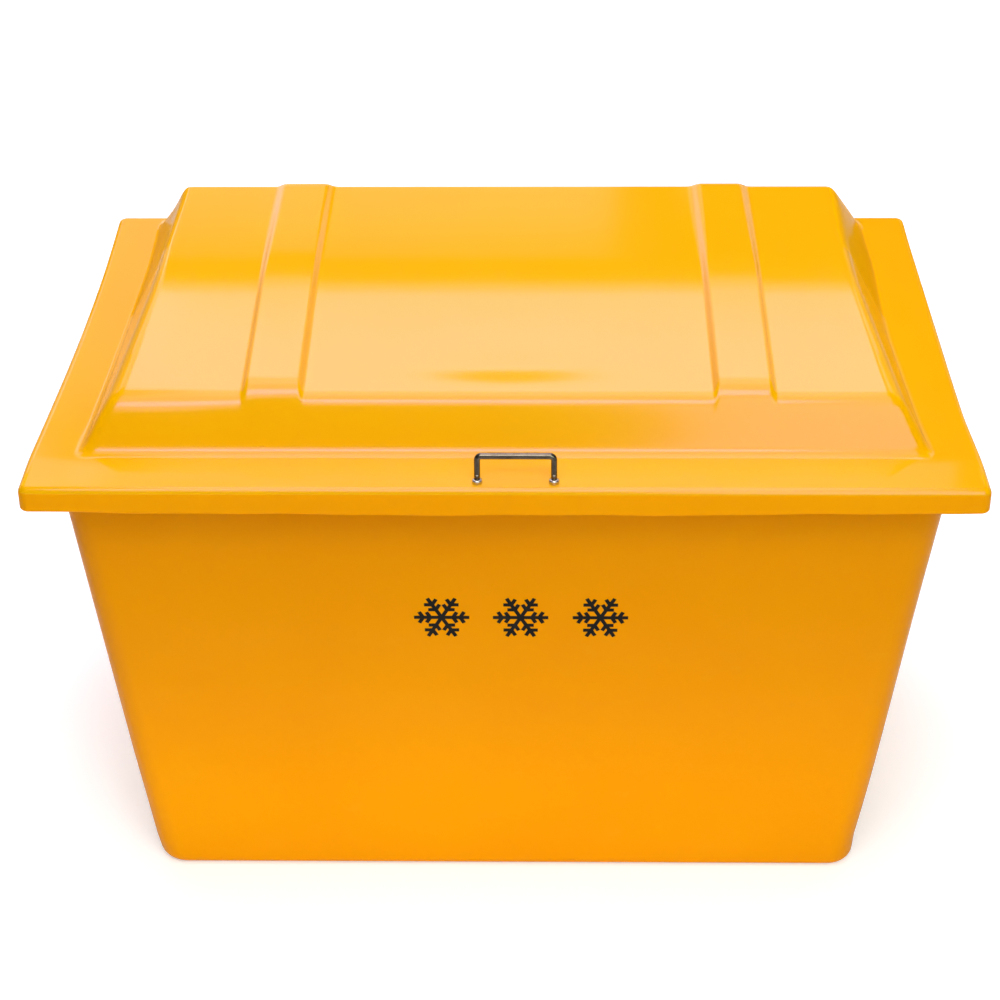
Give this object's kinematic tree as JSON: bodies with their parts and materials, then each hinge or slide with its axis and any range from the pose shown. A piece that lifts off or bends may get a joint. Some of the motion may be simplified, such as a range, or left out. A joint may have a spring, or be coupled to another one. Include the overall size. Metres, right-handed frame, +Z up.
{
  "type": "grit and salt bin",
  "caption": "Free-standing moulded bin for grit or salt: open tapered tub under an overhanging domed and ribbed lid that swings up and back on rear hinges, with a front pull.",
  "frame": {"origin": "centre of the underside of the tub, on the ground", "axes": "+Z up; the front with the pull faces -Y; +X to the right as seen from the front"},
  "size_m": [1.1, 0.79, 0.7362],
  "materials": {
    "tub_gelcoat": "glossy orange-yellow gelcoat on glass-fibre laminate",
    "lid_gelcoat": "glossy orange-yellow gelcoat on glass-fibre laminate",
    "stainless_steel": "satin stainless steel",
    "chromed_rod": "bright chrome"
  },
  "bodies": {
    "tub": {"tub": "tub_gelcoat", "hinge_bracket_left": "stainless_steel", "hinge_pin_left": "stainless_steel", "bracket_bolts_left": "stainless_steel", "bracket_plate_left": "stainless_steel", "bracket_nuts_left": "stainless_steel", "hinge_bracket_right": "stainless_steel", "hinge_pin_right": "stainless_steel", "bracket_bolts_right": "stainless_steel", "bracket_plate_right": "stainless_steel", "bracket_nuts_right": "stainless_steel"},
    "lid": {"lid": "lid_gelcoat", "hinge_leaf_left": "stainless_steel", "leaf_bolts_left": "stainless_steel", "leaf_plate_left": "stainless_steel", "leaf_nuts_left": "stainless_steel", "hinge_leaf_right": "stainless_steel", "leaf_bolts_right": "stainless_steel", "leaf_plate_right": "stainless_steel", "leaf_nuts_right": "stainless_steel", "handle": "chromed_rod", "handle_screws": "stainless_steel", "handle_washers": "stainless_steel"}
  },
  "joints": [
    {"name": "lid_hinge", "type": "hinge", "parent": "tub", "child": "lid", "pos_m": [0, 0.38105, 0.58], "axis": [-1, 0, 0], "range_deg": [0, 102]}
  ]
}
